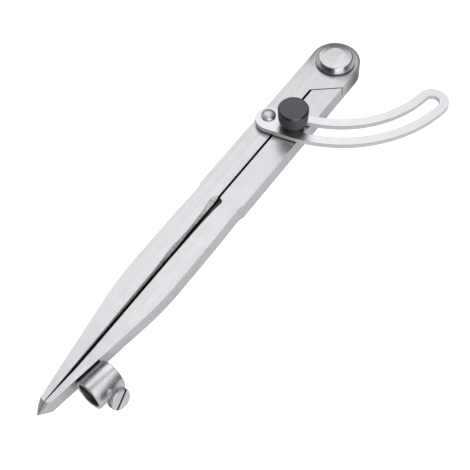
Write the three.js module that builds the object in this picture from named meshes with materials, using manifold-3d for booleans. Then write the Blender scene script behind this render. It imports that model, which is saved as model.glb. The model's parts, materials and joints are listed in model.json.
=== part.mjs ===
// A steel wing divider with a pencil ferrule: two legs on a half-lap pivot, a slotted wing riveted to the
// left leg, a knurled clamp knob on the right leg, and a tube with a thumbscrew for a pencil.
// Units are millimetres. The origin is on the pivot axis in the plane of the legs' backs: +Y runs to the
// head, +X to the right leg and its pencil ferrule, and +Z out of the front faces.
import * as THREE from "three";
import { mergeVertices } from "three/addons/utils/BufferGeometryUtils.js";
import Module from "manifold-3d";

const wasm = await Module();
wasm.setup();

// ---- driving dimensions -------------------------------------------------------------------------------
const CLEARANCE = 0.05; // radial play of a pin in its hole
const SEAT_GAP = 0.03; // play between two faces that rest on each other
const ROUND_SEGMENTS = 48;
const SMALL_SEGMENTS = 32;
const CONE_SEGMENTS = 72;

const LEG_THICKNESS = 7.6;
const LEG_HALF_WIDTH = 10; // outer edge of a closed leg, from the centre line
const LEG_INNER = 0.5; // inner edge of a closed leg, from the centre line
const HEAD_RADIUS = 10;
const HEAD_CENTRE_Y = 0.35;
const LAP_GAP = 0.1; // between the two halves of the half-lap
const SHOULDER_LOW_Y = -18.3; // the shoulder at the centre line
const SHOULDER_HIGH_Y = -10.3; // the shoulder at the outer edge
const SHOULDER_GAP = 0.45;
const HEAD_OVERLAP = 2; // how far a head runs down into its own shank before the two are joined
const WAIST_TOP_Y = -81.5;
const WAIST_DEEP_Y = -84;
const WAIST_HALF_WIDTH = 9.3;
const SHANK_HALF_WIDTH = 9.62;
const SHANK_TOP_Y = -100;
const TAPER_CORNER_Y = -132.7;
const TAPER_BLEND = 10; // length of the rounded corner along each of its two edges
const TAPER_SLOPE = 0.142; // how far the outer edge comes in for each millimetre along the leg
const TIP_Y = -190.6;
const TIP_INNER = 0.06; // half the gap between the two closed points
const INNER_TAPER_Y = -135; // the inner walls run parallel down to here, then draw in to the points
const TIP_HALF_ANGLE = 36; // degrees, of the cone that both points are ground to
const BEVEL_OVERLAP = 0.1; // how far past the inner wall the bevel's cut runs
const BACK_RISE = 1; // the back of the tapered shanks stands off the plane of the legs' backs
const BACK_RISE_TOP_Y = -122;
const BACK_RISE_END_Y = -150;

const PIVOT_RADIUS = 4;
const PIVOT_HEAD_RADIUS = 8.2;
const PIVOT_HEAD_HEIGHT = 3.15;
const PIVOT_CROWN_RADIUS = 6.2;
const PIVOT_RIM_HEIGHT = 0.5; // of the head's straight rim
const PIVOT_CROWN_DROP = 0.25; // from the top of the head to the edge of its crown
const PIVOT_SINK_RADIUS = 6;
const PIVOT_SINK_DEPTH = 2;
const PIVOT_WASHER_RADIUS = 7.1;
const PIVOT_WASHER_THICKNESS = 0.4;

const WING_THICKNESS = 2.1;
const WING_UNDERSIDE_Z = 8.1;
const ARC_CENTRE = new THREE.Vector2(-4.48, 9.36); // of the wing's arcs
const SLOT_ARC_RADIUS = 49.6; // middle of the slot
const SLOT_WIDTH = 5.4;
const WING_WIDTH = 13;
const SLOT_NEAR_ANGLE = 9.6; // degrees from -Y about the arcs' centre, as is the next
const WING_FAR_ANGLE = 80.65;
const WING_CAP = new THREE.Vector2(-4.3, -41.9); // centre of the rounded end at the left leg
const WING_CAP_RADIUS = 5.7;

const WING_RIVET_PLACE = new THREE.Vector2(-5.59, -41.0);
const WING_RIVET_RADIUS = 1.8;
const WING_RIVET_HEAD_RADIUS = 2.95;
const WING_RIVET_HEAD_HEIGHT = 1.7;
const WING_RIVET_RIM_HEIGHT = 0.25;
const SPACER_RADIUS = 4.4;

const CLAMP_PLACE = new THREE.Vector2(4.92, -39.38);
const CLAMP_THREAD_RADIUS = 2;
const CLAMP_NECK_RADIUS = 1.6;
const CLAMP_THREAD_TOP_Z = 6;
const CLAMP_THREAD_BOTTOM_Z = 0.8;
const CLAMP_HOLE_BOTTOM_Z = 0.4;
const CLAMP_WASHER_RADIUS = 4.7;
const CLAMP_WASHER_THICKNESS = 0.55;
const THREAD_CHAMFER = 0.4;
const KNOB_TOP_Z = 20;
const KNOB_RADIUS = 6.15;
const KNOB_CHAMFER = 0.65;
const KNOB_FOOT_RADIUS = 5.8;
const KNOB_FOOT_Z = 13.5;
const KNOB_FOOT_CHAMFER = 0.5;
const COLLAR_RADIUS = 5;
const COLLAR_STEP_RADIUS = 4.7;
const COLLAR_STEP_Z = 11.7;
const KNOB_BORE_TOP_Z = 17;

const FERRULE_RADIUS = 6.1;
const FERRULE_BORE_RADIUS = 5;
const FERRULE_LENGTH = 12;
const FERRULE_MOUTH_Y = -175;
const FERRULE_GAP = 0.08; // the brazed seam between the tube and the leg

const PENCIL_SCREW_RISE = 17; // degrees that the screw's axis tilts up to the front
const PENCIL_SCREW_ALONG = 5.6; // from the ferrule's mouth to the screw's axis
const PENCIL_SCREW_REACH = 11.6; // from the ferrule's axis to the outer face of the head
const PENCIL_HEAD_RADIUS = 4.2;
const PENCIL_HEAD_THICKNESS = 3;
const PENCIL_HEAD_CHAMFER = 0.4;
const PENCIL_STEM_RADIUS = 1.75;
const PENCIL_TIP_REACH = 5.3; // from the ferrule's axis to the end of the stem
const PENCIL_TIP_CHAMFER = 0.3;
const PENCIL_SLOT_WIDTH = 0.8;
const PENCIL_SLOT_DEPTH = 0.9;

// ---- worked out from them -----------------------------------------------------------------------------
const LAP_Z = LEG_THICKNESS / 2;
const WING_TOP_Z = WING_UNDERSIDE_Z + WING_THICKNESS;
const SHOULDER_SLOPE = (SHOULDER_HIGH_Y - SHOULDER_LOW_Y) / LEG_HALF_WIDTH;
const TAPER_ANGLE = Math.atan(TAPER_SLOPE);
const TIP_Z = (LEG_THICKNESS + BACK_RISE) / 2;
const CLAMP_WASHER_Z = WING_TOP_Z + SEAT_GAP;
const KNOB_BOTTOM_Z = CLAMP_WASHER_Z + CLAMP_WASHER_THICKNESS + SEAT_GAP;

// ---- materials ----------------------------------------------------------------------------------------
const steel = (color, roughness) => new THREE.MeshStandardMaterial({ color, roughness, metalness: 0.95 });
const satinSteel = steel(0xc9cacd, 0.42);
const polishedSteel = steel(0xe4e5e8, 0.14);
const blackSteel = steel(0x2b2c30, 0.45);
const greySteel = steel(0x4a4b50, 0.38);

// ---- building blocks ----------------------------------------------------------------------------------
function toSolid(geometry) {
  const bare = geometry.index ? geometry : geometry.clone();
  bare.deleteAttribute("normal");
  bare.deleteAttribute("uv");
  const merged = mergeVertices(bare, 1e-4);
  const mesh = new wasm.Mesh({
    numProp: 3,
    vertProperties: new Float32Array(merged.attributes.position.array),
    triVerts: new Uint32Array(merged.index.array),
  });
  return new wasm.Manifold(mesh);
}

function toGeometry(manifold) {
  const mesh = manifold.getMesh();
  const geometry = new THREE.BufferGeometry();
  geometry.setAttribute("position", new THREE.BufferAttribute(mesh.vertProperties, 3));
  geometry.setIndex(new THREE.BufferAttribute(mesh.triVerts, 1));
  return geometry.toNonIndexed();
}

function named(name, geometry, material) {
  geometry.computeVertexNormals();
  const mesh = new THREE.Mesh(geometry, material);
  mesh.name = name;
  return mesh;
}

// An outline in the XY plane raised from one height to another.
function slab(shape, low, high, curveSegments = 24) {
  const geometry = new THREE.ExtrudeGeometry(shape, {
    depth: high - low,
    bevelEnabled: false,
    curveSegments,
  });
  return toSolid(geometry.translate(0, 0, low));
}

// A profile of [radius, height] pairs, from the axis at the bottom to the axis at the top, turned about +Z.
function turned(profile, segments = ROUND_SEGMENTS) {
  const points = profile.map(([radius, height]) => new THREE.Vector2(radius, height));
  return new THREE.LatheGeometry(points, segments).rotateX(Math.PI / 2);
}

function rod(radius, low, high, segments = ROUND_SEGMENTS) {
  return turned([[0, low], [radius, low], [radius, high], [0, high]], segments);
}

function ring(outer, inner, low, high) {
  return turned([[inner, low], [outer, low], [outer, high], [inner, high], [inner, low]]);
}

// A solid through cross-sections, each { y, outline } with an outline of [x, z] points that runs
// anticlockwise seen from -Y, from the lowest Y up.
function lofted(sections) {
  const corners = [];
  const put = (section, k) => {
    const [x, z] = section.outline[k];
    corners.push(x, section.y, z);
  };
  const count = sections[0].outline.length;
  for (let i = 0; i + 1 < sections.length; i += 1) {
    const [low, high] = [sections[i], sections[i + 1]];
    for (let k = 0; k < count; k += 1) {
      const next = (k + 1) % count;
      [[low, next], [low, k], [high, next], [high, next], [low, k], [high, k]].forEach((c) => put(...c));
    }
  }
  const last = sections[sections.length - 1];
  for (let k = 1; k + 1 < count; k += 1) {
    [0, k, k + 1].forEach((corner) => put(sections[0], corner));
    [0, k + 1, k].forEach((corner) => put(last, corner));
  }
  const geometry = new THREE.BufferGeometry();
  geometry.setAttribute("position", new THREE.Float32BufferAttribute(corners, 3));
  return toSolid(geometry);
}

// Points of a quarter-like arc from [r0, z0] to [r1, z1], bulging outwards, for a turned profile.
function crownArc([r0, z0], [r1, z1], steps) {
  const points = [];
  for (let i = 0; i <= steps; i += 1) {
    const t = (i / steps) * (Math.PI / 2);
    points.push([r1 + (r0 - r1) * Math.cos(t), z0 + (z1 - z0) * Math.sin(t)]);
  }
  return points;
}

const at = (geometry, place) => geometry.translate(place.x, place.y, 0);

// ---- legs ---------------------------------------------------------------------------------------------
// The rough bevel along each leg's inner front edge, from the point up to the waist: [Y, distance of its
// front edge from the centre line, depth below the front face].
const LEFT_BEVEL = [
  [-189, 0, 0.2], [-170, 0.35, 1.1], [-150, 0.6, 1.6], [-135, 0.8, 1.9], [-122, 0.9, 1.9],
  [-116, 1.3, 1.8], [-109, 1.45, 1.7], [-103, 1.05, 1.5], [-98, 1.15, 1.4], [-92, 1.5, 1.3],
  [-86, 2.3, 1.2], [-83.8, 1.75, 1.2], [-82.5, 0.4, 1.1],
];
const RIGHT_BEVEL = [
  [-189, 0, 0.2], [-170, 1.1, 1.1], [-160, 1.25, 1.4], [-135, 1.25, 1.8], [-116, 1.25, 1.7],
  [-110, 1.35, 1.6], [-96, 1.55, 1.4], [-89, 1.9, 1.2], [-84.6, 2.35, 1.2], [-83.7, 2.1, 1.2],
  [-82.9, 0.4, 1.1],
];

const outerEdgeX = (y) => SHANK_HALF_WIDTH + TAPER_SLOPE * (y - TAPER_CORNER_Y);
const shoulderY = (x) => SHOULDER_LOW_Y + SHOULDER_SLOPE * x;

function innerWallX(y) {
  const drawn = Math.max(0, (INNER_TAPER_Y - y) / (INNER_TAPER_Y - TIP_Y));
  return THREE.MathUtils.lerp(LEG_INNER, TIP_INNER, drawn);
}

// What the bevel takes off a leg's inner front edge, drawn on the +X side of the centre line.
function bevelCut(stations) {
  const over = LEG_THICKNESS + 1;
  return lofted(stations.map(([y, edge, depth]) => ({
    y,
    outline: [
      [-1, LEG_THICKNESS - depth],
      [innerWallX(y) - BEVEL_OVERLAP, LEG_THICKNESS - depth],
      [edge, LEG_THICKNESS],
      [edge, over],
      [-1, over],
    ],
  })));
}

// One leg below the shoulder, drawn on the +X side of the centre line.
function shankShape() {
  const drop = SHOULDER_GAP / Math.cos(Math.atan(SHOULDER_SLOPE));
  const reliefRadius =
    ((LEG_HALF_WIDTH - WAIST_HALF_WIDTH) ** 2 + (WAIST_TOP_Y - WAIST_DEEP_Y) ** 2) /
    (2 * (LEG_HALF_WIDTH - WAIST_HALF_WIDTH));
  const reliefAngle = Math.asin((WAIST_TOP_Y - WAIST_DEEP_Y) / reliefRadius);
  const shape = new THREE.Shape();
  shape.moveTo(LEG_INNER, shoulderY(LEG_INNER) - drop);
  shape.lineTo(LEG_INNER, INNER_TAPER_Y);
  shape.lineTo(TIP_INNER, TIP_Y);
  shape.lineTo(outerEdgeX(TIP_Y), TIP_Y);
  const blendEndY = TAPER_CORNER_Y - TAPER_BLEND * Math.cos(TAPER_ANGLE);
  shape.lineTo(outerEdgeX(blendEndY), blendEndY);
  shape.quadraticCurveTo(
    SHANK_HALF_WIDTH, TAPER_CORNER_Y,
    SHANK_HALF_WIDTH, TAPER_CORNER_Y + TAPER_BLEND,
  );
  shape.lineTo(SHANK_HALF_WIDTH, SHANK_TOP_Y);
  shape.lineTo(WAIST_HALF_WIDTH, WAIST_DEEP_Y);
  shape.absarc(
    WAIST_HALF_WIDTH + reliefRadius, WAIST_DEEP_Y, reliefRadius,
    Math.PI, Math.PI - reliefAngle, true,
  );
  shape.lineTo(LEG_HALF_WIDTH, shoulderY(LEG_HALF_WIDTH) - drop);
  return shape;
}

// The head: full width from the shoulder up to the round end, and down to the shank on the -X side.
function headShape() {
  const shape = new THREE.Shape();
  shape.moveTo(0, SHOULDER_LOW_Y);
  shape.lineTo(LEG_HALF_WIDTH, SHOULDER_HIGH_Y);
  shape.lineTo(LEG_HALF_WIDTH, HEAD_CENTRE_Y);
  shape.absarc(0, HEAD_CENTRE_Y, HEAD_RADIUS, 0, Math.PI);
  shape.lineTo(-LEG_HALF_WIDTH, SHOULDER_LOW_Y - HEAD_OVERLAP);
  shape.lineTo(-LEG_INNER, SHOULDER_LOW_Y - HEAD_OVERLAP);
  shape.lineTo(-LEG_INNER, SHOULDER_LOW_Y - SHOULDER_SLOPE * LEG_INNER);
  return shape;
}

// What both legs are ground to: a cone about the line of the two points, and the thinner tapered shank.
function groundForm() {
  const reach = 3 * LEG_HALF_WIDTH;
  const coneLength = reach / Math.tan(THREE.MathUtils.degToRad(TIP_HALF_ANGLE));
  const length = 2 * HEAD_RADIUS - TIP_Y;
  const profile = [[0, 0], [reach, coneLength], [reach, length], [0, length]];
  const cone = new THREE.LatheGeometry(profile.map((p) => new THREE.Vector2(...p)), CONE_SEGMENTS);
  cone.translate(0, TIP_Y, TIP_Z);

  const side = new THREE.Shape();
  side.moveTo(HEAD_RADIUS * 2, 0);
  side.lineTo(HEAD_RADIUS * 2, LEG_THICKNESS);
  side.lineTo(TIP_Y - 1, LEG_THICKNESS);
  side.lineTo(TIP_Y - 1, BACK_RISE);
  side.lineTo(BACK_RISE_END_Y, BACK_RISE);
  side.lineTo(BACK_RISE_TOP_Y, 0);
  const width = 4 * LEG_HALF_WIDTH;
  const blank = new THREE.ExtrudeGeometry(side, { depth: width, bevelEnabled: false });
  blank.translate(0, 0, -width / 2);
  // The side outline is drawn in (Y, Z), so its axes are turned to match.
  blank.rotateX(Math.PI / 2).rotateZ(Math.PI / 2);
  return toSolid(cone).intersect(toSolid(blank));
}

// A leg as the left one lies, with its head's half of the lap between the heights lapLow and lapHigh.
function legSolid(bevel, lapLow, lapHigh) {
  const shank = slab(shankShape(), 0, LEG_THICKNESS).subtract(bevelCut(bevel)).mirror([1, 0, 0]);
  const head = slab(headShape(), lapLow, lapHigh, 40);
  return shank.add(head).intersect(groundForm());
}

function leftLeg() {
  const blank = legSolid(LEFT_BEVEL, LAP_Z + LAP_GAP / 2, LEG_THICKNESS);
  const pivotHole = rod(PIVOT_RADIUS + CLEARANCE, -1, LEG_THICKNESS + 1);
  const rivetHole = rod(WING_RIVET_RADIUS + CLEARANCE, -1, LEG_THICKNESS + 1, SMALL_SEGMENTS);
  return toGeometry(blank.subtract(toSolid(pivotHole)).subtract(toSolid(at(rivetHole, WING_RIVET_PLACE))));
}

function rightLeg() {
  const blank = legSolid(RIGHT_BEVEL, 0, LAP_Z - LAP_GAP / 2).mirror([1, 0, 0]);
  const sink = PIVOT_SINK_RADIUS + CLEARANCE;
  const hole = PIVOT_RADIUS + CLEARANCE;
  const pivotHole = turned([
    [0, -1],
    [sink, -1],
    [sink, 0],
    [hole, PIVOT_SINK_DEPTH],
    [hole, LEG_THICKNESS],
    [0, LEG_THICKNESS],
  ]);
  const tapped = rod(CLAMP_THREAD_RADIUS + CLEARANCE, CLAMP_HOLE_BOTTOM_Z, LEG_THICKNESS + 1, SMALL_SEGMENTS);
  return toGeometry(blank.subtract(toSolid(pivotHole)).subtract(toSolid(at(tapped, CLAMP_PLACE))));
}

// ---- pivot --------------------------------------------------------------------------------------------
function pivotRivet() {
  const headLow = LEG_THICKNESS + PIVOT_WASHER_THICKNESS + 2 * SEAT_GAP;
  const headHigh = headLow + PIVOT_HEAD_HEIGHT;
  const rim = [PIVOT_HEAD_RADIUS, headLow + PIVOT_RIM_HEIGHT];
  const shoulder = crownArc(rim, [PIVOT_CROWN_RADIUS, headHigh - PIVOT_CROWN_DROP], 8);
  return turned([
    [0, 0],
    [PIVOT_SINK_RADIUS - CLEARANCE, 0],
    [PIVOT_RADIUS, PIVOT_SINK_DEPTH - CLEARANCE],
    [PIVOT_RADIUS, headLow],
    [PIVOT_HEAD_RADIUS, headLow],
    ...shoulder,
    [PIVOT_CROWN_RADIUS / 2, headHigh - PIVOT_CROWN_DROP / 4],
    [0, headHigh],
  ]);
}

function pivotWasher() {
  const low = LEG_THICKNESS + SEAT_GAP;
  return ring(PIVOT_WASHER_RADIUS, PIVOT_RADIUS + CLEARANCE, low, low + PIVOT_WASHER_THICKNESS);
}

// ---- wing ---------------------------------------------------------------------------------------------
// A point at a distance from the arcs' centre, in the direction that many radians from -Y towards +X.
function onArc(radius, angle) {
  return new THREE.Vector2(
    ARC_CENTRE.x + radius * Math.sin(angle),
    ARC_CENTRE.y - radius * Math.cos(angle),
  );
}

// three.js counts an arc's angle from +X.
const arcAngle = (angle) => angle - Math.PI / 2;

function wingShape() {
  const far = THREE.MathUtils.degToRad(WING_FAR_ANGLE);
  const near = THREE.MathUtils.degToRad(SLOT_NEAR_ANGLE);
  const outer = SLOT_ARC_RADIUS + WING_WIDTH / 2;
  const inner = SLOT_ARC_RADIUS - WING_WIDTH / 2;

  // The straight stretches are tangent to the end cap and to the outer or inner arc.
  const toCap = new THREE.Vector2().subVectors(WING_CAP, ARC_CENTRE);
  const capAngle = Math.atan2(toCap.x, -toCap.y);
  const outerTangent = capAngle + Math.acos((outer - WING_CAP_RADIUS) / toCap.length());
  const innerTangent = capAngle + Math.acos((inner + WING_CAP_RADIUS) / toCap.length());
  const farCentre = onArc(SLOT_ARC_RADIUS, far);

  const shape = new THREE.Shape();
  shape.absarc(ARC_CENTRE.x, ARC_CENTRE.y, outer, arcAngle(outerTangent), arcAngle(far));
  shape.absarc(farCentre.x, farCentre.y, WING_WIDTH / 2, arcAngle(far), arcAngle(far) + Math.PI);
  shape.absarc(ARC_CENTRE.x, ARC_CENTRE.y, inner, arcAngle(far), arcAngle(innerTangent), true);
  shape.absarc(
    WING_CAP.x, WING_CAP.y, WING_CAP_RADIUS,
    arcAngle(innerTangent) + Math.PI, arcAngle(outerTangent) + 2 * Math.PI,
  );
  shape.closePath();

  const nearCentre = onArc(SLOT_ARC_RADIUS, near);
  const half = SLOT_WIDTH / 2;
  const slot = new THREE.Path();
  slot.absarc(ARC_CENTRE.x, ARC_CENTRE.y, SLOT_ARC_RADIUS + half, arcAngle(near), arcAngle(far));
  slot.absarc(farCentre.x, farCentre.y, half, arcAngle(far), arcAngle(far) + Math.PI);
  slot.absarc(ARC_CENTRE.x, ARC_CENTRE.y, SLOT_ARC_RADIUS - half, arcAngle(far), arcAngle(near), true);
  slot.absarc(nearCentre.x, nearCentre.y, half, arcAngle(near) + Math.PI, arcAngle(near) + 2 * Math.PI);
  slot.closePath();
  shape.holes.push(slot);
  return shape;
}

function wing() {
  const blank = slab(wingShape(), WING_UNDERSIDE_Z, WING_TOP_Z, 40);
  const hole = at(rod(WING_RIVET_RADIUS + CLEARANCE, 0, WING_TOP_Z + 1, SMALL_SEGMENTS), WING_RIVET_PLACE);
  return toGeometry(blank.subtract(toSolid(hole)));
}

function wingRivet() {
  const headLow = WING_TOP_Z + SEAT_GAP;
  const headHigh = headLow + WING_RIVET_HEAD_HEIGHT;
  const dome = crownArc([WING_RIVET_HEAD_RADIUS, headLow + WING_RIVET_RIM_HEIGHT], [0, headHigh], 8);
  const shaft = [[0, 0], [WING_RIVET_RADIUS, 0], [WING_RIVET_RADIUS, headLow]];
  const profile = [...shaft, [WING_RIVET_HEAD_RADIUS, headLow], ...dome];
  return at(turned(profile, SMALL_SEGMENTS), WING_RIVET_PLACE);
}

function spacer(holeRadius, place) {
  return at(ring(SPACER_RADIUS, holeRadius, LEG_THICKNESS + SEAT_GAP, WING_UNDERSIDE_Z - SEAT_GAP), place);
}

// ---- clamp --------------------------------------------------------------------------------------------
function clampScrew() {
  const thread = CLAMP_THREAD_RADIUS;
  const neck = CLAMP_NECK_RADIUS;
  const top = KNOB_BORE_TOP_Z - SEAT_GAP;
  const profile = [
    [0, CLAMP_THREAD_BOTTOM_Z],
    [thread - THREAD_CHAMFER, CLAMP_THREAD_BOTTOM_Z],
    [thread, CLAMP_THREAD_BOTTOM_Z + THREAD_CHAMFER],
    [thread, CLAMP_THREAD_TOP_Z],
    [neck, CLAMP_THREAD_TOP_Z + THREAD_CHAMFER],
    [neck, KNOB_BOTTOM_Z],
    [thread, KNOB_BOTTOM_Z + THREAD_CHAMFER],
    [thread, top],
    [0, top],
  ];
  return at(turned(profile, SMALL_SEGMENTS), CLAMP_PLACE);
}

function clampWasher() {
  const high = CLAMP_WASHER_Z + CLAMP_WASHER_THICKNESS;
  return at(ring(CLAMP_WASHER_RADIUS, CLAMP_NECK_RADIUS + CLEARANCE, CLAMP_WASHER_Z, high), CLAMP_PLACE);
}

function clampKnob() {
  const bore = CLAMP_THREAD_RADIUS + CLEARANCE;
  const profile = [
    [bore, KNOB_BOTTOM_Z],
    [COLLAR_STEP_RADIUS, KNOB_BOTTOM_Z],
    [COLLAR_STEP_RADIUS, COLLAR_STEP_Z],
    [COLLAR_RADIUS, COLLAR_STEP_Z],
    [COLLAR_RADIUS, KNOB_FOOT_Z - KNOB_FOOT_CHAMFER],
    [KNOB_FOOT_RADIUS - KNOB_FOOT_CHAMFER, KNOB_FOOT_Z - KNOB_FOOT_CHAMFER],
    [KNOB_FOOT_RADIUS, KNOB_FOOT_Z],
    [KNOB_RADIUS, KNOB_TOP_Z - KNOB_CHAMFER],
    [KNOB_RADIUS - KNOB_CHAMFER, KNOB_TOP_Z],
    [0, KNOB_TOP_Z],
    [0, KNOB_BORE_TOP_Z],
    [bore, KNOB_BORE_TOP_Z],
    [bore, KNOB_BOTTOM_Z],
  ];
  return at(turned(profile), CLAMP_PLACE);
}

// ---- pencil ferrule -----------------------------------------------------------------------------------
const FERRULE_MOUTH_X =
  outerEdgeX(FERRULE_MOUTH_Y) + (FERRULE_RADIUS + FERRULE_GAP) / Math.cos(TAPER_ANGLE);

// Geometry made about +Z from the mouth at zero height, laid along the taper of the right leg.
function alongFerrule(geometry) {
  geometry.rotateX(-Math.PI / 2).rotateZ(-TAPER_ANGLE);
  return geometry.translate(FERRULE_MOUTH_X, FERRULE_MOUTH_Y, TIP_Z);
}

// Geometry made about +Z from the ferrule's axis, laid along the thumbscrew's axis.
function alongPencilScrew(geometry) {
  geometry.rotateY(Math.PI / 2 - THREE.MathUtils.degToRad(PENCIL_SCREW_RISE)).rotateZ(-TAPER_ANGLE);
  return geometry.translate(
    FERRULE_MOUTH_X + PENCIL_SCREW_ALONG * Math.sin(TAPER_ANGLE),
    FERRULE_MOUTH_Y + PENCIL_SCREW_ALONG * Math.cos(TAPER_ANGLE),
    TIP_Z,
  );
}

function pencilFerrule() {
  const tube = alongFerrule(ring(FERRULE_RADIUS, FERRULE_BORE_RADIUS, 0, FERRULE_LENGTH));
  const tapped = alongPencilScrew(rod(PENCIL_STEM_RADIUS + CLEARANCE, 0, PENCIL_SCREW_REACH, SMALL_SEGMENTS));
  return toGeometry(toSolid(tube).subtract(toSolid(tapped)));
}

function pencilScrew() {
  const headLow = PENCIL_SCREW_REACH - PENCIL_HEAD_THICKNESS;
  const top = PENCIL_SCREW_REACH;
  const body = turned([
    [0, PENCIL_TIP_REACH],
    [PENCIL_STEM_RADIUS - PENCIL_TIP_CHAMFER, PENCIL_TIP_REACH],
    [PENCIL_STEM_RADIUS, PENCIL_TIP_REACH + PENCIL_TIP_CHAMFER],
    [PENCIL_STEM_RADIUS, headLow],
    [PENCIL_HEAD_RADIUS - PENCIL_HEAD_CHAMFER, headLow],
    [PENCIL_HEAD_RADIUS, headLow + PENCIL_HEAD_CHAMFER],
    [PENCIL_HEAD_RADIUS, top - PENCIL_HEAD_CHAMFER],
    [PENCIL_HEAD_RADIUS - PENCIL_HEAD_CHAMFER, top],
    [0, top],
  ]);
  const slot = new THREE.BoxGeometry(2.4 * PENCIL_HEAD_RADIUS, PENCIL_SLOT_WIDTH, 2 * PENCIL_SLOT_DEPTH);
  slot.translate(0, 0, top);
  const cut = toSolid(body).subtract(toSolid(slot));
  return alongPencilScrew(toGeometry(cut));
}

// ---- assembly -----------------------------------------------------------------------------------------
const divider = new THREE.Group();
divider.add(
  named("left_leg", leftLeg(), satinSteel),
  named("right_leg", rightLeg(), satinSteel),
  named("pivot_rivet", pivotRivet(), polishedSteel),
  named("pivot_washer", pivotWasher(), blackSteel),
  named("wing", wing(), polishedSteel),
  named("wing_rivet", wingRivet(), polishedSteel),
  named("wing_spacer", spacer(WING_RIVET_RADIUS + CLEARANCE, WING_RIVET_PLACE), blackSteel),
  named("clamp_spacer", spacer(CLAMP_THREAD_RADIUS + CLEARANCE, CLAMP_PLACE), blackSteel),
  named("clamp_screw", clampScrew(), blackSteel),
  named("clamp_washer", clampWasher(), blackSteel),
  named("clamp_knob", clampKnob(), greySteel),
  named("pencil_ferrule", pencilFerrule(), polishedSteel),
  named("pencil_screw", pencilScrew(), satinSteel),
);

export default divider;
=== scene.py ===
"""The looks of a steel wing divider with a pencil ferrule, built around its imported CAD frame.

Everything is in metres in the row frame: the pivot axis is +Z through the origin, +Y runs to the head,
+X to the right leg, and the front faces look along +Z.
"""

import json
import math

import bmesh
import bpy
from mathutils import Matrix, Vector


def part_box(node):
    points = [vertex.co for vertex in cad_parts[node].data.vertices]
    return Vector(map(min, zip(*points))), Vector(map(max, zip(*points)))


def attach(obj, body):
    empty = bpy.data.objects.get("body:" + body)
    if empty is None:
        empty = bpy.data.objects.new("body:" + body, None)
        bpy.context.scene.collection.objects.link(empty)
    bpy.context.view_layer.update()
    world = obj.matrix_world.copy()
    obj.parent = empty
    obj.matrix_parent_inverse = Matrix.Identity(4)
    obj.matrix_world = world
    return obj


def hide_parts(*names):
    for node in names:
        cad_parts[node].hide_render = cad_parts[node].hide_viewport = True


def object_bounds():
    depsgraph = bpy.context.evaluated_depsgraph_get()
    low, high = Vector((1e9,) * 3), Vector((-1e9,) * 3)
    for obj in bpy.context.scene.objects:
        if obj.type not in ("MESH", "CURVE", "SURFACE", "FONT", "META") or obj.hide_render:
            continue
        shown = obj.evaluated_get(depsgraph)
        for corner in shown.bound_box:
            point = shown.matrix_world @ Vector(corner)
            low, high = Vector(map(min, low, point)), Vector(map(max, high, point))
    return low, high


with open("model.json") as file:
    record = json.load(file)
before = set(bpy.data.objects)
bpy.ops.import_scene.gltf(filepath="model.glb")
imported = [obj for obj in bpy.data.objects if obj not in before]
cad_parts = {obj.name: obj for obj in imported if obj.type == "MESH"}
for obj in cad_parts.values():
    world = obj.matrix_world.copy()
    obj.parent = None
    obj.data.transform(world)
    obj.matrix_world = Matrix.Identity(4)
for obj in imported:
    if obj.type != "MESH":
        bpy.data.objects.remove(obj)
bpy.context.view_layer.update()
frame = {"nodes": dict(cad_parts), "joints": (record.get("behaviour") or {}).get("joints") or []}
NODES = frame["nodes"]
JOINTS = {joint["name"]: joint for joint in frame["joints"]}

MM = 0.001
SHARP = math.radians(30)  # a crease steeper than this is an edge of the real piece

# ---- the studio ---------------------------------------------------------------------------------------
CAMERA_PLACE = Vector((0.16043, -0.29154, 0.36935))
CAMERA_AIM = Vector((0.01345, -0.09185, 0.004))
CAMERA_ROLL = math.radians(-2.0)
CAMERA_LENS = 90.44
OBJECT_CENTRE = Vector((0, -0.09, 0.005))
FLOOR_SIZE = 6.0
FLOOR_GLOW = 0.15
FLOOR_SEEN_GLOW = 0.80


def link(obj):
    bpy.context.scene.collection.objects.link(obj)
    return obj


def add_camera():
    data = bpy.data.cameras.new("camera")
    data.sensor_width = 36
    data.lens = CAMERA_LENS
    data.clip_start = 0.01
    forward = (CAMERA_AIM - CAMERA_PLACE).normalized()
    level = forward.cross(Vector((0, 0, 1))).normalized()
    upright = level.cross(forward)
    right = level * math.cos(CAMERA_ROLL) + upright * math.sin(CAMERA_ROLL)
    up = right.cross(forward)
    camera = link(bpy.data.objects.new("camera", data))
    turn = Matrix((right, up, -forward)).transposed().to_4x4()
    camera.matrix_world = Matrix.Translation(CAMERA_PLACE) @ turn
    bpy.context.scene.camera = camera


def add_softbox(name, direction, distance, width, height, power):
    data = bpy.data.lights.new(name, "AREA")
    data.shape = "RECTANGLE"
    data.size = width
    data.size_y = height
    data.energy = power
    light = link(bpy.data.objects.new(name, data))
    towards = Vector(direction).normalized()
    light.location = OBJECT_CENTRE + towards * distance
    light.rotation_euler = towards.to_track_quat("Z", "Y").to_euler()


def add_world():
    """Studio walls that are dim near the horizon and bright overhead."""
    world = bpy.data.worlds.new("studio")
    world.use_nodes = True
    tree = world.node_tree
    coords = tree.nodes.new("ShaderNodeTexCoord")
    split = tree.nodes.new("ShaderNodeSeparateXYZ")
    ramp = tree.nodes.new("ShaderNodeValToRGB")
    tree.links.new(coords.outputs["Generated"], split.inputs[0])
    tree.links.new(split.outputs["Z"], ramp.inputs[0])
    stops = [(0.0, 0.10), (0.3, 0.16), (0.6, 0.5), (1.0, 1.0)]
    ramp.color_ramp.elements[1].position = 1.0
    for position, level in stops:
        known = [e for e in ramp.color_ramp.elements if abs(e.position - position) < 1e-6]
        element = known[0] if known else ramp.color_ramp.elements.new(position)
        element.color = (level, level, level * 1.01, 1)
    background = tree.nodes["Background"]
    background.inputs["Strength"].default_value = 0.45
    tree.links.new(ramp.outputs[0], background.inputs["Color"])
    bpy.context.scene.world = world


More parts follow.
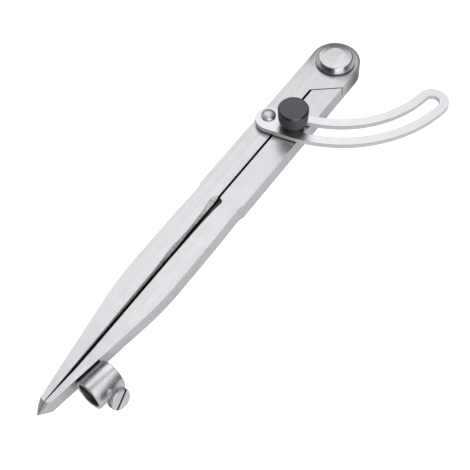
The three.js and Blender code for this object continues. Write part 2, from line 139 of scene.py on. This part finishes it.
def add_floor():
    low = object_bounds()[0]
    mesh = bpy.data.meshes.new("floor")
    bm = bmesh.new()
    bmesh.ops.create_grid(bm, x_segments=1, y_segments=1, size=FLOOR_SIZE / 2)
    bm.to_mesh(mesh)
    bm.free()
    floor = link(bpy.data.objects.new("floor", mesh))
    floor.location = (OBJECT_CENTRE.x, OBJECT_CENTRE.y, low[2] - 0.05 * MM)
    material, shader, _ = new_material("floor_paper")
    shader.inputs["Base Color"].default_value = (0.93, 0.93, 0.935, 1)
    shader.inputs["Roughness"].default_value = 0.9
    shader.inputs["Specular IOR Level"].default_value = 0.1
    shader.inputs["Emission Color"].default_value = (1, 1, 1, 1)
    mesh.materials.append(material)
    # Overexposed where it is seen, as a studio backdrop is, and plain pale paper to the metal above it.
    tree = material.node_tree
    path = tree.nodes.new("ShaderNodeLightPath")
    glow = tree.nodes.new("ShaderNodeMapRange")
    glow.inputs["To Min"].default_value = FLOOR_GLOW
    glow.inputs["To Max"].default_value = FLOOR_SEEN_GLOW
    tree.links.new(path.outputs["Is Camera Ray"], glow.inputs["Value"])
    tree.links.new(glow.outputs[0], shader.inputs["Emission Strength"])


# ---- node materials -----------------------------------------------------------------------------------
def new_material(name):
    material = bpy.data.materials.new(name)
    material.use_nodes = True
    tree = material.node_tree
    return material, tree.nodes["Principled BSDF"], tree


class Surface:
    """A metal whose roughness, colour and bump come from noise in the piece's own coordinates."""

    def __init__(self, name, roughness, metallic=1.0):
        self.material, self.shader, self.tree = new_material(name)
        self.shader.inputs["Metallic"].default_value = metallic
        self.coords = self.node("ShaderNodeTexCoord").outputs["Object"]
        self.roughness = roughness
        self.height = None

    def node(self, kind, **settings):
        made = self.tree.nodes.new(kind)
        for key, value in settings.items():
            setattr(made, key, value)
        return made

    def join(self, source, target):
        self.tree.links.new(source, target)
        return target

    def placed(self, scale, offset=(0, 0, 0), turn=0.0):
        """The piece's coordinates, moved, turned about Z and then scaled."""
        move = self.node("ShaderNodeMapping")
        move.inputs["Location"].default_value = offset
        self.join(self.coords, move.inputs["Vector"])
        spin = self.node("ShaderNodeMapping")
        spin.inputs["Rotation"].default_value = (0, 0, turn)
        spin.inputs["Scale"].default_value = scale
        self.join(move.outputs[0], spin.inputs["Vector"])
        return spin.outputs[0]

    def noise(self, vector, scale, detail=3.0, rough=0.55):
        made = self.node("ShaderNodeTexNoise")
        made.inputs["Scale"].default_value = scale
        made.inputs["Detail"].default_value = detail
        made.inputs["Roughness"].default_value = rough
        self.join(vector, made.inputs["Vector"])
        return made.outputs["Fac"]

    def ranged(self, value, low, high, from_low=0.3, from_high=0.7):
        made = self.node("ShaderNodeMapRange")
        made.inputs["From Min"].default_value = from_low
        made.inputs["From Max"].default_value = from_high
        made.inputs["To Min"].default_value = low
        made.inputs["To Max"].default_value = high
        self.join(value, made.inputs["Value"])
        return made.outputs[0]

    def math(self, operation, a, b):
        made = self.node("ShaderNodeMath", operation=operation)
        for socket, value in zip(made.inputs, (a, b)):
            if isinstance(value, (int, float)):
                socket.default_value = value
            else:
                self.join(value, socket)
        return made.outputs[0]

    def painted_rim_shade_mask(self, rim_shade):
        """Painted shade round the head: how much of the colour is left, 1, falling to the given share out at the
        rounded end of the head.
        """
        start, full, share = rim_shade
        flat = self.node("ShaderNodeMapping")
        flat.inputs["Scale"].default_value = (1000, 1000, 0)
        self.join(self.coords, flat.inputs["Vector"])
        length = self.node("ShaderNodeVectorMath", operation="LENGTH")
        self.join(flat.outputs[0], length.inputs[0])
        split = self.node("ShaderNodeSeparateXYZ")
        self.join(self.coords, split.inputs[0])
        ring = self.ranged(length.outputs["Value"], 0, 1 - share, start, full)
        upper = self.ranged(split.outputs["Y"], 0, 1, -0.009, -0.001)
        return self.math("SUBTRACT", 1.0, self.math("MULTIPLY", ring, upper))

    def coloured(self, value, dark, light, low=0.3, high=0.7, share=None):
        ramp = self.node("ShaderNodeValToRGB")
        ramp.color_ramp.elements[0].position = low
        ramp.color_ramp.elements[0].color = (*dark, 1)
        ramp.color_ramp.elements[1].position = high
        ramp.color_ramp.elements[1].color = (*light, 1)
        self.join(value, ramp.inputs[0])
        colour = ramp.outputs[0]
        if share is not None:
            scaled = self.node("ShaderNodeVectorMath", operation="SCALE")
            self.join(colour, scaled.inputs[0])
            self.join(share, scaled.inputs["Scale"])
            colour = scaled.outputs[0]
        self.join(colour, self.shader.inputs["Base Color"])

    def rough(self, value, spread, low=0.3, high=0.7):
        result = self.ranged(value, self.roughness - spread, self.roughness + spread, low, high)
        self.join(result, self.shader.inputs["Roughness"])

    def bump(self, value, distance, strength=1.0):
        made = self.node("ShaderNodeBump")
        made.inputs["Distance"].default_value = distance
        made.inputs["Strength"].default_value = strength
        self.join(value, made.inputs["Height"])
        if self.height is not None:
            self.join(self.height, made.inputs["Normal"])
        self.height = made.outputs[0]
        self.join(self.height, self.shader.inputs["Normal"])


def grained_steel(name, dark, light, roughness, grain=(1.0, 0.12, 1.0), depth=0.012, turn=0.0, rim_shade=None,
                  metallic=1.0):
    """Ground steel: a fine speckled grain drawn out along one axis, faint streaks and soft blotches.

    The head's painted shade is given as (radius where it starts, radius where it is full, share of the colour
    left), in
    millimetres from the pivot: the colour darkens towards the rounded end of the head.
    """
    surface = Surface(name, roughness, metallic)
    speckle = surface.noise(surface.placed(tuple(1000 * g for g in grain), turn=turn), 2.6, detail=5, rough=0.7)
    streak = surface.noise(surface.placed((1000 * grain[0], 30 * grain[1], 1000), turn=turn), 1.1, detail=3)
    cloud = surface.noise(surface.placed((1000, 1000, 1000)), 0.16, detail=5, rough=0.6)
    mixed = surface.math("ADD", surface.math("MULTIPLY", speckle, 0.5), surface.math("MULTIPLY", streak, 0.2))
    mixed = surface.math("ADD", mixed, surface.math("MULTIPLY", cloud, 0.3))
    surface.coloured(mixed, dark, light, 0.40, 0.60, surface.painted_rim_shade_mask(rim_shade) if rim_shade else None)
    surface.rough(surface.math("MULTIPLY", surface.math("ADD", speckle, cloud), 0.5), 0.07, 0.4, 0.6)
    surface.bump(speckle, depth * MM, 0.35)
    surface.bump(streak, 2 * depth * MM, 0.25)
    return surface.material


def milled_steel(name, dark, light, roughness, metallic=1.0):
    """Rough cut or forged steel: cross ridges from the cutter, and pits."""
    surface = Surface(name, roughness, metallic)
    across = surface.placed((300, 1600, 240))
    ridges = surface.noise(across, 1.0, detail=4, rough=0.65)
    pits = surface.noise(surface.placed((1000, 1000, 1000)), 1.4, detail=3, rough=0.7)
    surface.coloured(surface.math("MULTIPLY", surface.math("ADD", ridges, pits), 0.5), dark, light, 0.35, 0.65)
    surface.rough(pits, 0.12)
    surface.bump(ridges, 0.12 * MM, 0.8)
    surface.bump(pits, 0.08 * MM, 0.6)
    return surface.material


def polished_steel(name, dark, light, roughness):
    """Bright steel with hairline scratches and faint handling marks."""
    surface = Surface(name, roughness)
    smear = surface.noise(surface.placed((1000, 1000, 1000)), 0.12, detail=4)
    hairs = surface.noise(surface.placed((1400, 60, 1000), turn=math.radians(28)), 1.0, detail=5, rough=0.7)
    surface.coloured(smear, dark, light, 0.35, 0.65)
    surface.rough(surface.math("MULTIPLY", surface.math("ADD", smear, hairs), 0.5), 0.04, 0.4, 0.6)
    surface.bump(hairs, 0.006 * MM, 0.25)
    return surface.material


def turned_metal(name, dark, light, roughness, centre, rings_per_mm=1.1, depth=0.02, metallic=1.0):
    """Metal faced on a lathe: fine rings about +Z through `centre`, under a matt mottled finish."""
    surface = Surface(name, roughness, metallic)
    centred = surface.placed((1000, 1000, 1000), offset=(-centre[0], -centre[1], 0))
    wave = surface.node("ShaderNodeTexWave", wave_type="RINGS", rings_direction="Z")
    wave.inputs["Scale"].default_value = rings_per_mm
    wave.inputs["Distortion"].default_value = 0.6
    wave.inputs["Detail"].default_value = 3
    wave.inputs["Detail Scale"].default_value = 1.5
    surface.join(centred, wave.inputs["Vector"])
    mottle = surface.noise(centred, 1.3, detail=5, rough=0.65)
    surface.coloured(mottle, dark, light)
    surface.rough(mottle, 0.08)
    surface.bump(wave.outputs["Fac"], depth * MM, 0.3)
    surface.bump(mottle, 0.02 * MM, 0.3)
    return surface.material


def grey(level, tint=1.03):
    return (level, level, level * tint)


# ---- mesh helpers -------------------------------------------------------------------------------------
def finish_piece(name, bm, materials, body, replaces=(), pick=None, flat_faces=False):
    """Turns a bmesh into a shaded piece on a CAD body. pick chooses each face's material."""
    bmesh.ops.recalc_face_normals(bm, faces=bm.faces)
    if pick is not None:
        for face in bm.faces:
            face.material_index = pick(face)
    for face in bm.faces:
        face.smooth = True
    mesh = bpy.data.meshes.new(name)
    bm.to_mesh(mesh)
    bm.free()
    mesh.set_sharp_from_angle(angle=SHARP)
    for material in materials:
        mesh.materials.append(material)
    piece = link(bpy.data.objects.new(name, mesh))
    if flat_faces:
        weighted = piece.modifiers.new("flat_faces", "WEIGHTED_NORMAL")
        weighted.keep_sharp = True
        weighted.weight = 100
    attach(piece, body)
    if replaces:
        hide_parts(*replaces)
    return piece


def from_node(node, bevel, segments=2):
    """A CAD node's own shape with its flat faces whole again and its edges rounded off."""
    bm = bmesh.new()
    bm.from_mesh(NODES[node].data)
    bmesh.ops.remove_doubles(bm, verts=bm.verts, dist=2e-6)
    bmesh.ops.dissolve_limit(bm, angle_limit=math.radians(0.5), verts=bm.verts, edges=bm.edges)
    bm.normal_update()
    if bevel:
        edges = [e for e in bm.edges if len(e.link_faces) == 2 and e.calc_face_angle() > SHARP]
        bmesh.ops.bevel(
            bm, geom=edges, offset=bevel, offset_type="OFFSET", segments=segments,
            profile=0.5, affect="EDGES", clamp_overlap=True,
        )
    return bm


def rounded(corners, steps=4):
    """A profile of (radius, height, fillet) corners, in millimetres, with each filleted corner as an arc."""
    points = []
    for i, (radius, height, fillet) in enumerate(corners):
        here = Vector((radius, height))
        if not fillet or i in (0, len(corners) - 1):
            points.append(here)
            continue
        before = Vector(corners[i - 1][:2]) - here
        after = Vector(corners[i + 1][:2]) - here
        angle = before.angle(after)
        setback = min(fillet / math.tan(angle / 2), 0.49 * before.length, 0.49 * after.length)
        start = here + before.normalized() * setback
        end = here + after.normalized() * setback
        for k in range(steps + 1):
            t = k / steps
            points.append(start.lerp(here, t).lerp(here.lerp(end, t), t))
    return points


def turn_profile(points, segments, teeth=None, place=Matrix.Identity(4)):
    """Turns (radius, height) points in millimetres about +Z. teeth(point, angle) may cut into a radius."""
    bm = bmesh.new()
    rings = []
    for point in points:
        if point[0] < 1e-6:
            rings.append([bm.verts.new(place @ Vector((0, 0, point[1] * MM)))])
            continue
        ring = []
        for k in range(segments):
            angle = 2 * math.pi * k / segments
            radius = (point[0] - (teeth(point, angle) if teeth else 0)) * MM
            ring.append(bm.verts.new(place @ Vector((radius * math.cos(angle), radius * math.sin(angle), point[1] * MM))))
        rings.append(ring)
    pairs = list(zip(rings, rings[1:]))
    if len(rings[0]) > 1:
        pairs.append((rings[-1], rings[0]))
    for low, high in pairs:
        for k in range(segments):
            nxt = (k + 1) % segments
            corners = []
            for ring, index in ((low, k), (low, nxt), (high, nxt), (high, k)):
                vert = ring[index if len(ring) > 1 else 0]
                if vert not in corners:
                    corners.append(vert)
            if len(corners) > 2:
                bm.faces.new(corners)
    return bm


def knurl(count, depth, low, high, ease):
    """Straight teeth: a cut that is deepest between two teeth, on heights from low to high."""

    def cut(point, angle):
        run = min(point[1] - low, high - point[1])
        if run < 0:
            return 0.0
        wave = 0.5 - 0.5 * math.cos(count * angle)
        return depth * wave ** 0.8 * min(1.0, run / ease)

    return cut


def at_joint(name):
    return Vector(JOINTS[name]["pos_m"])


def axis_place(node):
    """The place in XY of the axis of a round node that stands along +Z."""
    low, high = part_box(node)
    return Vector(((low.x + high.x) / 2, (low.y + high.y) / 2, 0))


def cut(bm, cutter):
    """What is left of one closed mesh when another is taken out of it."""
    pair = []
    for source in (bm, cutter):
        bmesh.ops.recalc_face_normals(source, faces=source.faces)
        mesh = bpy.data.meshes.new("cut")
        source.to_mesh(mesh)
        source.free()
        pair.append(link(bpy.data.objects.new("cut", mesh)))
    body, tool = pair
    modifier = body.modifiers.new("cut", "BOOLEAN")
    modifier.object = tool
    modifier.operation = "DIFFERENCE"
    modifier.solver = "EXACT"
    result = bmesh.new()
    result.from_mesh(body.evaluated_get(bpy.context.evaluated_depsgraph_get()).to_mesh())
    for obj in pair:
        bpy.data.objects.remove(obj)
    return result


# ---- pieces -------------------------------------------------------------------------------------------
WAIST_Y = -0.0820
SHOULDER_Y = -0.0186
HEAD_LOW_Y = -0.0095
TIP_GROUND_Y = -0.1835
SCOOP_TOP_Y = -0.0812
SCOOP_LOW_Y = -0.0845
GAP_WALL = 0.0007  # the walls of the gap between the closed legs are nearer the centre line than this
BEVEL_REACH = 0.0030
EDGE_REACH = 0.0010
TAPER_Y = -0.124
SLOT_TURN = math.radians(38)


def make_leg(node, materials, edge_shade_from_y):
    """A leg with broken edges: satin faces, duller sides, joint walls in painted shade, rough bevels in painted
    light (left leg) or painted shade (right leg), painted light on the scoop at the waist, and ground points.

    The broken outer edges carry a painted shade line from the given height down.
    """
    face, side, dark, scoop, edge, tip, rough = range(7)

    def pick(f):
        centre = f.calc_center_median()
        normal = f.normal
        across = abs(centre.x)
        if centre.y < TIP_GROUND_Y and abs(normal.y) > 0.3:
            return tip
        # painted shade: the gap walls, the shoulder step and the edge bevels beside the gap take the near-black
        # steel
        if across < GAP_WALL and abs(normal.x) > 0.98 and abs(normal.z) < 0.1 and centre.y < SHOULDER_Y:
            return dark
        if centre.y > SHOULDER_Y and abs(normal.y) > 0.6 and centre.y < HEAD_LOW_Y and abs(normal.z) < 0.3:
            return dark
        # rough bevels below the waist: painted light on the left leg, painted shade on the right
        if centre.y < WAIST_Y and across < BEVEL_REACH and 0.1 < normal.z < 0.97:
            return rough
        if across < EDGE_REACH and 0.1 < normal.z < 0.97 and centre.y < SHOULDER_Y:
            return dark
        if SHOULDER_Y < centre.y < HEAD_LOW_Y and abs(normal.y) > 0.2 and 0.1 < abs(normal.z) < 0.97:
            return dark
        # painted light on the scoop at the waist
        if SCOOP_LOW_Y < centre.y < SCOOP_TOP_Y and across > BEVEL_REACH and abs(normal.z) < 0.5:
            return scoop
        # painted shade line along the broken outer edges
        if across > BEVEL_REACH and 0.25 < abs(normal.z) < 0.95 and centre.y < edge_shade_from_y:
            return edge
        return face if abs(normal.z) > 0.6 else side

    bm = from_node(node, 0.2 * MM)
    return finish_piece(node + "_look", bm, materials, node, [node], pick, True)


def make_pivot(material, washer_material):
    low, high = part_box("pivot_rivet")
    washer_low, washer_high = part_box("pivot_washer")
    base = washer_high.z / MM + 0.03
    radius = high.x / MM
    top = high.z / MM
    shoulder = [
        (radius - 0.5, base, 0.1),
        (radius, base + 0.45, 0.3),
        (radius - 0.1, base + 0.8, 0.3),
        (radius - 1.2, top - 0.36, 0.8),
        (radius * 0.5, top - 0.06, 2.5),
        (0, top, 0),
    ]
    shaft = [(0, 0.0, 0), (5.9, 0.0, 0.05), (4.0, 1.95, 0), (4.0, base, 0)]
    bm = turn_profile(rounded(shaft + shoulder, 6), 128)
    finish_piece("pivot_rivet_look", bm, [material], "left_leg", ["pivot_rivet"])
    outer = washer_high.x / MM
    profile = rounded([
        (4.05, washer_low.z / MM, 0), (outer, washer_low.z / MM, 0.08),
        (outer, washer_high.z / MM, 0.08), (4.05, washer_high.z / MM, 0),
    ])
    bm = turn_profile(profile, 96)
    finish_piece("pivot_washer_look", bm, [washer_material], "left_leg", ["pivot_washer"])


def make_wing(material, wall_material, edge_material):
    bm = from_node("wing", 0.2 * MM, 2)

    def pick(face):
        lift = abs(face.normal.z)
        # the rounded edges between top and wall take the painted shade outline
        return 0 if lift > 0.95 else 1 if lift < 0.2 else 2

    metals = [material, wall_material, edge_material]
    finish_piece("wing_look", bm, metals, "wing", ["wing"], pick, True)


def make_wing_rivet(material):
    low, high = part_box("wing_rivet")
    place = Matrix.Translation(axis_place("wing_rivet"))
    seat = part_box("wing")[1].z / MM + 0.03
    radius = (high.x - low.x) / 2 / MM
    top = high.z / MM
    dome = [(radius * math.cos(t), seat + 0.2 + (top - seat - 0.2) * math.sin(t)) for t in
            [math.pi / 2 * k / 16 for k in range(17)]]
    profile = [(0, 0), (1.8, 0), (1.8, seat), (radius - 0.08, seat)] + dome[:-1] + [(0, top)]
    bm = turn_profile([Vector(p) for p in profile], 72, place=place)
    finish_piece("wing_rivet_look", bm, [material], "left_leg", ["wing_rivet"])


def make_ring(node, body, material, fillet=0.08, segments=96):
    low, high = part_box(node)
    centre = axis_place(node)
    inner = min((v.co.xy - centre.xy).length for v in NODES[node].data.vertices) / MM
    outer = (high.x - low.x) / 2 / MM
    bottom, top = low.z / MM, high.z / MM
    corners = [(inner, bottom, 0), (outer, bottom, fillet), (outer, top, fillet), (inner, top, 0)]
    bm = turn_profile(rounded(corners), segments, place=Matrix.Translation(centre))
    finish_piece(node + "_look", bm, [material], body, [node])


def make_knob(material, collar_material):
    low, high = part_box("clamp_knob")
    place = Matrix.Translation(axis_place("clamp_knob"))
    bottom, top = low.z / MM, high.z / MM
    radius = (high.x - low.x) / 2 / MM
    foot = bottom + 2.69
    corners = [
        (2.05, bottom, 0),
        (4.55, bottom, 0.12),
        (4.55, bottom + 0.8, 0.08),
        (4.25, bottom + 0.95, 0.05),
        (4.25, bottom + 1.15, 0.05),
        (5.0, bottom + 1.3, 0.15),
        (5.0, foot - 0.75, 0.15),
        (4.7, foot - 0.6, 0.05),
        (4.7, foot - 0.45, 0.05),
        (5.25, foot - 0.4, 0.2),
        (5.8, foot + 0.15, 0.4),
        (6.1, foot + 4.9, 0),
        (radius, top - 0.85, 0.2),
        (radius - 0.65, top, 0.25),
        (radius - 1.5, top - 0.03, 0),
        (0, top - 0.03, 0),
        (0, 17, 0),
        (2.05, 17, 0),
    ]
    points = rounded(corners, 3)
    dense = []
    for a, b in zip(points, points[1:]):
        steps = 6 if abs(b.y - a.y) > 1 and a.x > 5.5 else 1
        dense += [a.lerp(b, k / steps) for k in range(steps)]
    dense.append(points[-1])
    teeth = knurl(60, 0.12, foot + 0.4, top - 0.75, 0.4)
    bm = turn_profile(dense, 360, teeth, place)
    split = (foot - 0.42) * MM

    def pick(face):
        return 1 if face.calc_center_median().z < split else 0

    finish_piece("clamp_knob_look", bm, [material, collar_material], "clamp_knob", ["clamp_knob"], pick)


def make_clamp_screw(material):
    place = Matrix.Translation(axis_place("clamp_screw"))
    low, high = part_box("clamp_screw")
    bottom, top = low.z / MM, high.z / MM
    corners = [(0, bottom, 0), (1.6, bottom, 0), (2.0, bottom + 0.4, 0)]
    pitch, depth = 0.7, 0.35
    z = bottom + 0.4
    while z < 5.6:
        corners += [(2.0, z + 0.1, 0), (2.0 - depth, z + pitch / 2, 0), (2.0, z + pitch - 0.1, 0)]
        z += pitch
    corners += [(2.0, 6.0, 0), (1.6, 6.4, 0.1), (1.6, 10.7, 0), (2.0, 11.2, 0), (2.0, top, 0), (0, top, 0)]
    bm = turn_profile(rounded(corners), 48, place=place)
    finish_piece("clamp_screw_look", bm, [material], "clamp_knob", ["clamp_screw"])


FERRULE_TURN = math.atan(0.142)  # the slope of the right leg's taper
FERRULE_OUTER = 6.1
FERRULE_INNER = 5.0
STEM_RADIUS = 1.75
STEM_PLAY = 0.05


def middle(points, direction):
    """Halfway between the ends of the points along a direction."""
    reaches = [p.dot(direction) for p in points]
    return direction * (min(reaches) + max(reaches)) / 2


def ferrule_frame():
    """The ferrule's mouth and axis, from the CAD node: +Z of the result runs up the tube from its mouth."""
    points = [v.co for v in NODES["pencil_ferrule"].data.vertices]
    along = Vector((math.sin(FERRULE_TURN), math.cos(FERRULE_TURN), 0))
    heights = [p.dot(along) for p in points]
    bottom, top = min(heights), max(heights)
    across = Vector((math.cos(FERRULE_TURN), -math.sin(FERRULE_TURN), 0))
    upright = along.cross(across)
    mouth = along * bottom + middle(points, across) + middle(points, upright)
    turn = Matrix((across, upright, along)).transposed().to_4x4()
    return Matrix.Translation(mouth) @ turn, (top - bottom) / MM


def screw_frame():
    """The thumbscrew's inner end and axis, from the CAD node and its joint, and the screw's whole length."""
    axis = Vector(JOINTS["pencil_screw_travel"]["axis"]).normalized()
    points = [v.co for v in NODES["pencil_screw"].data.vertices]
    reaches = [p.dot(axis) for p in points]
    bottom, top = min(reaches), max(reaches)
    side = Vector((0, 0, 1)).cross(axis).normalized()
    other = axis.cross(side)
    start = axis * bottom + middle(points, side) + middle(points, other)
    turn = Matrix((side, other, axis)).transposed().to_4x4()
    return Matrix.Translation(start) @ turn, (top - bottom) / MM


def make_ferrule(material, bore_material):
    place, length = ferrule_frame()
    inner, outer = FERRULE_INNER, FERRULE_OUTER
    corners = [
        (inner, 0.3, 0.15), (inner + 0.3, 0, 0.12), (outer - 0.25, 0, 0.12), (outer, 0.25, 0.15),
        (outer, length - 0.25, 0.15), (outer - 0.25, length, 0.12), (inner + 0.3, length, 0.12),
        (inner, length - 0.3, 0.15),
    ]
    tube = turn_profile(rounded(corners), 144, place=place)
    screw_place, screw_length = screw_frame()
    hole = STEM_RADIUS + STEM_PLAY
    drill = turn_profile([Vector(p) for p in ((0, -3), (hole, -3), (hole, 5), (0, 5))], 48, place=screw_place)
    bm = cut(tube, drill)
    axis = place.to_3x3() @ Vector((0, 0, 1))
    origin = place.translation

    def pick(face):
        away = face.calc_center_median() - origin
        radius = (away - axis * away.dot(axis)).length
        # the bore takes the painted shade
        return 1 if radius < (inner + 0.1) * MM else 0

    finish_piece("pencil_ferrule_look", bm, [material, bore_material], "right_leg",
                 ["pencil_ferrule"], pick)


def make_braze(material):
    """The fillet of braze that fills the two corners between the tube and the leg's side wall, in the near-black
    painted shade of the contact.
    """
    place, length = ferrule_frame()
    radius = FERRULE_OUTER
    wall = radius + 0.07  # from the tube's axis to the leg
    reach, grip = 2.9, 2.0  # up the wall, and up the tube, from their line of contact
    hollow = Vector((-wall + 0.16, 2.15))
    outline = [Vector((-wall, -reach)), Vector((-wall, reach))]
    touch = Vector((-math.sqrt(radius ** 2 - grip ** 2), grip))
    outline += [outline[1].lerp(hollow, t).lerp(hollow.lerp(touch, t), t) for t in (0.25, 0.5, 0.75)]
    angle = math.asin(grip / radius)
    for k in range(9):
        turn = angle * (1 - k / 4)
        outline.append(Vector((-radius * math.cos(turn), radius * math.sin(turn))))
    outline += [Vector((p.x, -p.y)) for p in reversed(outline[2:5])]
    bm = bmesh.new()
    rows = []
    steps = 24
    for i in range(steps + 1):
        share = i / steps
        ease = 1 - 0.25 * abs(2 * share - 1) ** 6 + 0.05 * math.sin(9 * share) * math.sin(23 * share)
        height = 0.3 + (length - 0.6) * share
        rows.append([bm.verts.new(place @ (Vector((p.x, p.y * ease, height)) * MM)) for p in outline])
    for low, high in zip(rows, rows[1:]):
        for k in range(len(outline)):
            nxt = (k + 1) % len(outline)
            bm.faces.new((low[k], low[nxt], high[nxt], high[k]))
    bm.faces.new(rows[0])
    bm.faces.new(rows[-1])
    bmesh.ops.triangulate(bm, faces=[f for f in bm.faces if len(f.verts) > 4])
    finish_piece("braze_fillet_painted_shade", bm, [material], "right_leg")


def make_pencil_screw(material, slot_material):
    place, reach = screw_frame()
    head_low = reach - 3.0
    corners = [(0, 0, 0), (1.4, 0, 0), (STEM_RADIUS, 0.3, 0)]
    z = 0.4
    while z < head_low - 0.9:
        corners += [(STEM_RADIUS, z, 0), (STEM_RADIUS - 0.3, z + 0.3, 0), (STEM_RADIUS, z + 0.6, 0)]
        z += 0.6
    corners += [
        (STEM_RADIUS, head_low, 0), (3.7, head_low, 0.15), (4.2, head_low + 0.45, 0.1),
        (4.2, reach - 0.5, 0.12), (3.75, reach - 0.02, 0.25), (0, reach, 0),
    ]
    profile = rounded(corners)
    dense = []
    for a, b in zip(profile, profile[1:]):
        steps = 4 if a.x > 4 and abs(b.y - a.y) > 1 else 1
        dense += [a.lerp(b, k / steps) for k in range(steps)]
    dense.append(profile[-1])
    teeth = knurl(30, 0.36, head_low + 0.25, reach - 0.25, 0.3)
    head = turn_profile(dense, 240, teeth, place)
    depth = 0.9
    slot = bmesh.new()
    size = Matrix.Diagonal((10 * MM, 0.85 * MM, 2 * depth * MM, 1))
    turn = Matrix.Rotation(SLOT_TURN, 4, "Z")
    bmesh.ops.create_cube(slot, size=1, matrix=place @ Matrix.Translation((0, 0, reach * MM)) @ turn @ size)
    bm = cut(head, slot)
    axis = place.to_3x3() @ Vector((0, 0, 1))
    floor_low = place.translation.dot(axis) + (reach - depth - 0.05) * MM
    across = place.to_3x3() @ Vector((-math.sin(SLOT_TURN), math.cos(SLOT_TURN), 0))

    def pick(face):
        centre = face.calc_center_median()
        off = abs((centre - place.translation).dot(across))
        # painted shade: the slot's walls and floor take the black
        walls = centre.dot(axis) > floor_low and off < 0.43 * MM and abs(face.normal.dot(axis)) < 0.5
        floor = off < 0.43 * MM and abs(centre.dot(axis) - floor_low) < 0.1 * MM
        return 1 if walls or floor else 0

    finish_piece("pencil_screw_look", bm, [material, slot_material], "pencil_screw",
                 ["pencil_screw"], pick)


# ---- the scene ----------------------------------------------------------------------------------------
bpy.context.scene.view_settings.view_transform = "Standard"
add_camera()
add_world()
add_softbox("overhead", (-0.33, 0.42, 0.84), 1.1, 0.9, 0.8, 2.5)
add_softbox("right_fill", (0.42, 0.12, 0.90), 1.1, 0.45, 0.5, 0.8)
add_softbox("left_fill", (-0.95, -0.12, 0.24), 1.1, 0.40, 0.3, 0.6)
add_softbox("front_fill", (0.72, -0.45, 0.53), 1.2, 1.1, 1.1, 7.0)

# painted shade: the leg steel darkens from 8 mm out from the pivot round the head's rounded end
HEAD_RIM_SHADE = (8.0, 9.8, 0.3)
satin_face = grained_steel("satin_steel_face", grey(0.56), grey(0.72), 0.36, rim_shade=HEAD_RIM_SHADE)
satin_side = grained_steel("satin_steel_side", grey(0.56), grey(0.72), 0.40, rim_shade=HEAD_RIM_SHADE)
# painted shade: a near-black copy of the milled steel for the gap walls, the shoulder step, the edges beside the
# gap and the braze
gap_painted_shade = milled_steel("joint_steel_painted_shade", grey(0.03), grey(0.10), 0.6)
# lit and shaded copies of one rough-cut steel: the left leg's bevels below the waist get painted light, the right
# leg's painted shade
rough_painted_light = milled_steel("rough_cut_steel_painted_light", grey(0.40), grey(0.98), 0.5, 0.15)
rough_painted_shade = milled_steel("rough_cut_steel_painted_shade", grey(0.04), grey(0.16), 0.5, 0.35)
# painted light: a lighter copy of the rough-cut steel on the scoop at the waist
scoop_painted_light = milled_steel("rough_cut_scoop_painted_light", grey(0.50), grey(0.75), 0.5, 0.8)
# painted shade: a dark copy of the leg steel, drawn as a shade line on the broken outer edges
edge_painted_shade = grained_steel("edge_line_painted_shade", grey(0.12), grey(0.20), 0.45)
ground_tip = grained_steel("ground_tip_steel", grey(0.50), grey(0.66), 0.40, grain=(1.0, 0.5, 1.0), metallic=0.6)
polished = polished_steel("polished_steel", grey(0.70), grey(0.77), 0.34)
wing_wall = grained_steel("polished_steel_wall", grey(0.62), grey(0.74), 0.40, grain=(1.0, 1.0, 0.2), metallic=0.5)
# painted shade: a darker copy of the polished steel, drawn as outlines on the wing's rounded edges
wing_edge_painted_shade = grained_steel("polished_steel_edge_painted_shade", grey(0.30), grey(0.42), 0.35)
dome_steel = polished_steel("domed_rivet_steel", grey(0.72), grey(0.80), 0.46)
bright_rivet = polished_steel("bright_rivet_steel", grey(0.50), grey(0.62), 0.24)
# black steel for the knob's collar and the clamp screw, and painted shade for the washer under the pivot dome, the
# spacers and clamp washer in the gaps, and the thumbscrew's slot
black_and_painted_shade = turned_metal("black_steel", grey(0.020), grey(0.045), 0.42, (0, 0), metallic=0.7)
knob_place = axis_place("clamp_knob")
knob_metal = turned_metal("knob_steel", grey(0.062, 1.1), grey(0.11, 1.12), 0.30, knob_place, metallic=0.85)
tube_metal = grained_steel("drawn_tube_steel", grey(0.60), grey(0.66), 0.30, (1.0, 0.1, 1.0), 0.001, FERRULE_TURN)
# painted shade: a dark copy of the milled steel inside the ferrule's bore
bore_painted_shade = milled_steel("tube_bore_steel_painted_shade", grey(0.06), grey(0.25), 0.45)
screw_metal = polished_steel("plated_screw_steel", grey(0.60), grey(0.72), 0.30)

leg_metals = [satin_face, satin_side, gap_painted_shade, scoop_painted_light, edge_painted_shade, ground_tip]
make_leg("left_leg", leg_metals + [rough_painted_light], edge_shade_from_y=0)
make_leg("right_leg", leg_metals + [rough_painted_shade], edge_shade_from_y=TAPER_Y)
# the pivot washer is painted black as the shade of the ring under the dome
make_pivot(bright_rivet, black_and_painted_shade)
make_wing(polished, wing_wall, wing_edge_painted_shade)
make_wing_rivet(dome_steel)
make_ring("wing_spacer", "left_leg", black_and_painted_shade)
make_ring("clamp_spacer", "right_leg", black_and_painted_shade)
make_ring("clamp_washer", "clamp_washer", black_and_painted_shade)
make_knob(knob_metal, black_and_painted_shade)
make_clamp_screw(black_and_painted_shade)
make_ferrule(tube_metal, bore_painted_shade)
# the braze fillet carries the painted shade of the dark band along the tube's contact
make_braze(gap_painted_shade)
make_pencil_screw(screw_metal, black_and_painted_shade)
add_floor()
